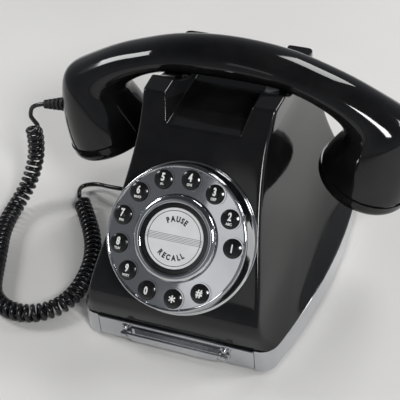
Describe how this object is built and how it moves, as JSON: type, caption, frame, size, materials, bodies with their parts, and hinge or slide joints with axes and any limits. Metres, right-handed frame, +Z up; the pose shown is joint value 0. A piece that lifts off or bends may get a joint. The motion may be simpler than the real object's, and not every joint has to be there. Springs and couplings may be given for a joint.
{
  "type": "retro desk telephone",
  "caption": "Black desk telephone with a dial of push keys, chrome plate and band, drawer in the base and a corded handset on a four-eared cradle.",
  "frame": {"origin": "middle of the set's footprint on the table, the cord left out", "axes": "+X to the right as seen from the front, +Y to the back, +Z up"},
  "size_m": [0.2741, 0.1914, 0.1493],
  "materials": {
    "black_gloss": "polished black moulding",
    "key_black": "black moulded caps with white numbers",
    "chrome": "bright chrome plating",
    "white_plastic": "white satin button with black print",
    "black_plastic": "matt black moulding",
    "black_steel": "black painted sheet steel",
    "zinc_steel": "zinc plated steel",
    "rubber": "black rubber",
    "cord_black": "satin black cord jacket",
    "clear_plug": "clear modular plug",
    "board_green": "printed circuit board"
  },
  "bodies": {
    "base": {"housing": "black_gloss", "centre_collar": "key_black", "base_trim": "chrome", "dial_bezel": "chrome", "dial_plate": "chrome", "centre_ring": "chrome", "drawer_runners": "black_plastic", "switch_bodies": "black_plastic", "handset_jack": "black_plastic", "line_jack": "black_plastic", "jack_seats": "black_plastic", "hook_switch": "black_plastic", "ringer_sounder": "black_plastic", "rocker_switches": "black_plastic", "base_plate": "black_steel", "base_deck": "black_steel", "base_screws": "zinc_steel", "housing_screws": "zinc_steel", "keypad_screws": "zinc_steel", "hook_stand": "zinc_steel", "rocker_pin": "zinc_steel", "ballast_weight": "zinc_steel", "board_standoffs": "zinc_steel", "rubber_feet": "rubber", "keypad_mat": "rubber", "cord_lead": "cord_black", "curly_cord": "cord_black", "cord_tail": "cord_black", "cord_plug": "clear_plug", "keypad_board": "board_green", "main_board": "board_green"},
    "key_1": {"key_1": "key_black"},
    "key_2": {"key_2": "key_black"},
    "key_3": {"key_3": "key_black"},
    "key_4": {"key_4": "key_black"},
    "key_5": {"key_5": "key_black"},
    "key_6": {"key_6": "key_black"},
    "key_7": {"key_7": "key_black"},
    "key_8": {"key_8": "key_black"},
    "key_9": {"key_9": "key_black"},
    "key_0": {"key_0": "key_black"},
    "key_star": {"key_star": "key_black"},
    "key_hash": {"key_hash": "key_black"},
    "rocker": {"rocker": "white_plastic"},
    "drawer": {"drawer_front": "chrome", "drawer_tray": "black_plastic", "pull_plates": "chrome", "pull_screws": "chrome"},
    "pull_bail": {"pull_bail": "chrome"},
    "handset": {"handset_shell": "black_gloss", "ear_cap": "black_gloss", "mouth_cap": "black_gloss", "receiver_capsule": "black_plastic", "microphone_capsule": "black_plastic", "strain_relief": "rubber"},
    "hook": {"hook_plunger": "black_gloss"},
    "volume_switch": {"volume_switch": "black_plastic"},
    "tone_switch": {"tone_switch": "black_plastic"}
  },
  "joints": [
    {"name": "key_1_press", "type": "slide", "parent": "base", "child": "key_1", "axis": [0, 0.7593, -0.6508], "range_m": [0, 0.0015], "stiffness_N_per_m": 400},
    {"name": "key_2_press", "type": "slide", "parent": "base", "child": "key_2", "axis": [0, 0.7593, -0.6508], "range_m": [0, 0.0015], "stiffness_N_per_m": 400},
    {"name": "key_3_press", "type": "slide", "parent": "base", "child": "key_3", "axis": [0, 0.7593, -0.6508], "range_m": [0, 0.0015], "stiffness_N_per_m": 400},
    {"name": "key_4_press", "type": "slide", "parent": "base", "child": "key_4", "axis": [0, 0.7593, -0.6508], "range_m": [0, 0.0015], "stiffness_N_per_m": 400},
    {"name": "key_5_press", "type": "slide", "parent": "base", "child": "key_5", "axis": [0, 0.7593, -0.6508], "range_m": [0, 0.0015], "stiffness_N_per_m": 400},
    {"name": "key_6_press", "type": "slide", "parent": "base", "child": "key_6", "axis": [0, 0.7593, -0.6508], "range_m": [0, 0.0015], "stiffness_N_per_m": 400},
    {"name": "key_7_press", "type": "slide", "parent": "base", "child": "key_7", "axis": [0, 0.7593, -0.6508], "range_m": [0, 0.0015], "stiffness_N_per_m": 400},
    {"name": "key_8_press", "type": "slide", "parent": "base", "child": "key_8", "axis": [0, 0.7593, -0.6508], "range_m": [0, 0.0015], "stiffness_N_per_m": 400},
    {"name": "key_9_press", "type": "slide", "parent": "base", "child": "key_9", "axis": [0, 0.7593, -0.6508], "range_m": [0, 0.0015], "stiffness_N_per_m": 400},
    {"name": "key_0_press", "type": "slide", "parent": "base", "child": "key_0", "axis": [0, 0.7593, -0.6508], "range_m": [0, 0.0015], "stiffness_N_per_m": 400},
    {"name": "key_star_press", "type": "slide", "parent": "base", "child": "key_star", "axis": [0, 0.7593, -0.6508], "range_m": [0, 0.0015], "stiffness_N_per_m": 400},
    {"name": "key_hash_press", "type": "slide", "parent": "base", "child": "key_hash", "axis": [0, 0.7593, -0.6508], "range_m": [0, 0.0015], "stiffness_N_per_m": 400},
    {"name": "rocker_tilt", "type": "hinge", "parent": "base", "child": "rocker", "pos_m": [0, -0.06796, 0.08014], "axis": [1, 0, 0], "range_deg": [-4, 4], "stiffness_Nm_per_rad": 0.2},
    {"name": "drawer_slide", "type": "slide", "parent": "base", "child": "drawer", "axis": [0, -1, 0], "range_m": [0, 0.08]},
    {"name": "pull_lift", "type": "hinge", "parent": "drawer", "child": "pull_bail", "pos_m": [0, -0.08718, 0.0109], "axis": [-1, 0, 0], "range_deg": [0, 85]},
    {"name": "handset_lift", "type": "slide", "parent": "base", "child": "handset", "axis": [0, 0, 1], "range_m": [0, 0.06]},
    {"name": "hook_rise", "type": "slide", "parent": "base", "child": "hook", "axis": [0, 0, 1], "range_m": [0, 0.004]},
    {"name": "volume_slide", "type": "slide", "parent": "base", "child": "volume_switch", "axis": [1, 0, 0], "range_m": [-0.003, 0.003]},
    {"name": "tone_slide", "type": "slide", "parent": "base", "child": "tone_switch", "axis": [1, 0, 0], "range_m": [-0.002, 0.002]}
  ],
  "couplings": [
    {"joint": "hook_rise", "follows": "handset_lift", "ratio": 0.066667}
  ]
}
